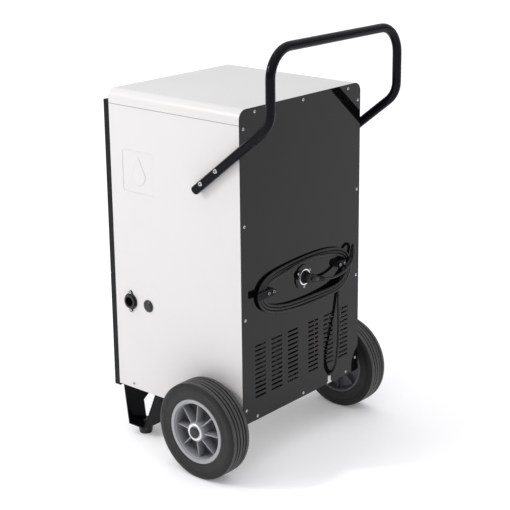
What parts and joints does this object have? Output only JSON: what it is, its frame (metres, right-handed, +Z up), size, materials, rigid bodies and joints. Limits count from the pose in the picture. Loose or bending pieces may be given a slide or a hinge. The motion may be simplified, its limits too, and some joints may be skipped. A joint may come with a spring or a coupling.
{
  "type": "dehumidifier",
  "caption": "Upright commercial dehumidifier on two big wheels and front feet: white steel casing, dark louvred rear panel with cord hooks, bent tube push handle, tank drawer.",
  "frame": {"origin": "on the floor under the centre of the bounding box of the machine without its cord and plug", "axes": "+X towards the side with the humidistat socket, +Y out of the louvred rear panel, +Z up; the intake front faces -Y"},
  "size_m": [0.6164, 0.549, 1.049],
  "materials": {
    "casing_white": "satin powder coat, fine orange peel",
    "rear_charcoal": "matte powder coat",
    "galvanised": "dull galvanised sheet",
    "zinc_screw": "bright zinc plate",
    "gloss_black": "gloss black paint",
    "bolt_steel": "blackened steel",
    "panel_black": "satin black powder coat",
    "black_moulding": "fine moulded texture",
    "bright_ring": "bright plated",
    "cord_rubber": "matte rubber",
    "pin_metal": "nickel plate",
    "rim_grey": "moulded, faint grain",
    "tyre_rubber": "matte rubber with moulded rings",
    "display_glass": "smoked window",
    "lamp_green": "frosted lamp lens",
    "button_grey": "soft-touch key",
    "filter_net": "woven net",
    "tank_plastic": "natural moulded tank plastic",
    "float_white": "foam float",
    "compressor_black": "enamel",
    "copper": "drawn copper",
    "coil_fins": "finned block"
  },
  "bodies": {
    "chassis": {"axle": "bolt_steel", "axle_caps": "black_moulding", "axle_saddles": "bolt_steel", "axle_washers": "zinc_screw", "base_pan": "casing_white", "blanking_plug": "black_moulding", "casing_side_left": "casing_white", "casing_side_right": "casing_white", "compressor": "compressor_black", "compressor_mounts": "cord_rubber", "condenser": "coil_fins", "control_fascia": "black_moulding", "cord_bushing": "black_moulding", "display_window": "display_glass", "drip_tray": "galvanised", "electrics_box": "black_moulding", "evaporator": "coil_fins", "fan_motor": "compressor_black", "fan_shroud": "galvanised", "filter_drier": "copper", "foot_brackets": "gloss_black", "front_frame": "casing_white", "handle_end_plugs": "black_moulding", "handle_screws": "bolt_steel", "handle_tube": "gloss_black", "hook_plates": "gloss_black", "hook_posts": "black_moulding", "hook_screws": "zinc_screw", "humidistat_socket": "black_moulding", "indicator_lamps": "lamp_green", "mains_cord": "cord_rubber", "mains_plug": "cord_rubber", "middle_deck": "galvanised", "plug_holder": "black_moulding", "plug_holder_ring": "bright_ring", "plug_holder_screws": "zinc_screw", "plug_pins": "pin_metal", "rear_panel": "rear_charcoal", "rear_panel_screws": "zinc_screw", "refrigerant_pipes": "copper", "rubber_feet": "cord_rubber", "side_screws": "zinc_screw", "terminal_cover": "black_moulding", "top_hood": "casing_white", "upper_front_panel": "panel_black"},
    "wheel_right": {"wheel_rim_right": "rim_grey", "tyre_right": "tyre_rubber"},
    "wheel_left": {"wheel_rim_left": "rim_grey", "tyre_left": "tyre_rubber"},
    "button_power": {"button_power": "button_grey"},
    "button_mode": {"button_mode": "button_grey"},
    "button_up": {"button_up": "button_grey"},
    "button_down": {"button_down": "button_grey"},
    "air_filter": {"filter_frame": "black_moulding", "filter_mesh": "filter_net"},
    "tank_drawer": {"tank_front_panel": "panel_black", "condensate_tank": "tank_plastic"},
    "float": {"tank_float": "float_white"},
    "fan": {"fan_rotor": "black_moulding"}
  },
  "joints": [
    {"name": "wheel_right_spin", "type": "hinge", "parent": "chassis", "child": "wheel_right", "pos_m": [0.2715, 0.0795, 0.12], "axis": [1, 0, 0], "continuous": true},
    {"name": "wheel_left_spin", "type": "hinge", "parent": "chassis", "child": "wheel_left", "pos_m": [-0.2715, 0.0795, 0.12], "axis": [1, 0, 0], "continuous": true},
    {"name": "press_power", "type": "slide", "parent": "chassis", "child": "button_power", "axis": [0, 1, 0], "range_m": [0, 0.0015], "stiffness_N_per_m": 400},
    {"name": "press_mode", "type": "slide", "parent": "chassis", "child": "button_mode", "axis": [0, 1, 0], "range_m": [0, 0.0015], "stiffness_N_per_m": 400},
    {"name": "press_up", "type": "slide", "parent": "chassis", "child": "button_up", "axis": [0, 1, 0], "range_m": [0, 0.0015], "stiffness_N_per_m": 400},
    {"name": "press_down", "type": "slide", "parent": "chassis", "child": "button_down", "axis": [0, 1, 0], "range_m": [0, 0.0015], "stiffness_N_per_m": 400},
    {"name": "filter_slide", "type": "slide", "parent": "chassis", "child": "air_filter", "axis": [-1, 0, 0], "range_m": [0, 0.36]},
    {"name": "tank_pull", "type": "slide", "parent": "chassis", "child": "tank_drawer", "axis": [0, -1, 0], "range_m": [0, 0.2]},
    {"name": "float_swing", "type": "hinge", "parent": "tank_drawer", "child": "float", "pos_m": [0, -0.08, 0.347], "axis": [-1, 0, 0], "range_deg": [0, 12]},
    {"name": "fan_spin", "type": "hinge", "parent": "chassis", "child": "fan", "pos_m": [0, -0.042, 0.64], "axis": [0, 1, 0], "continuous": true}
  ]
}
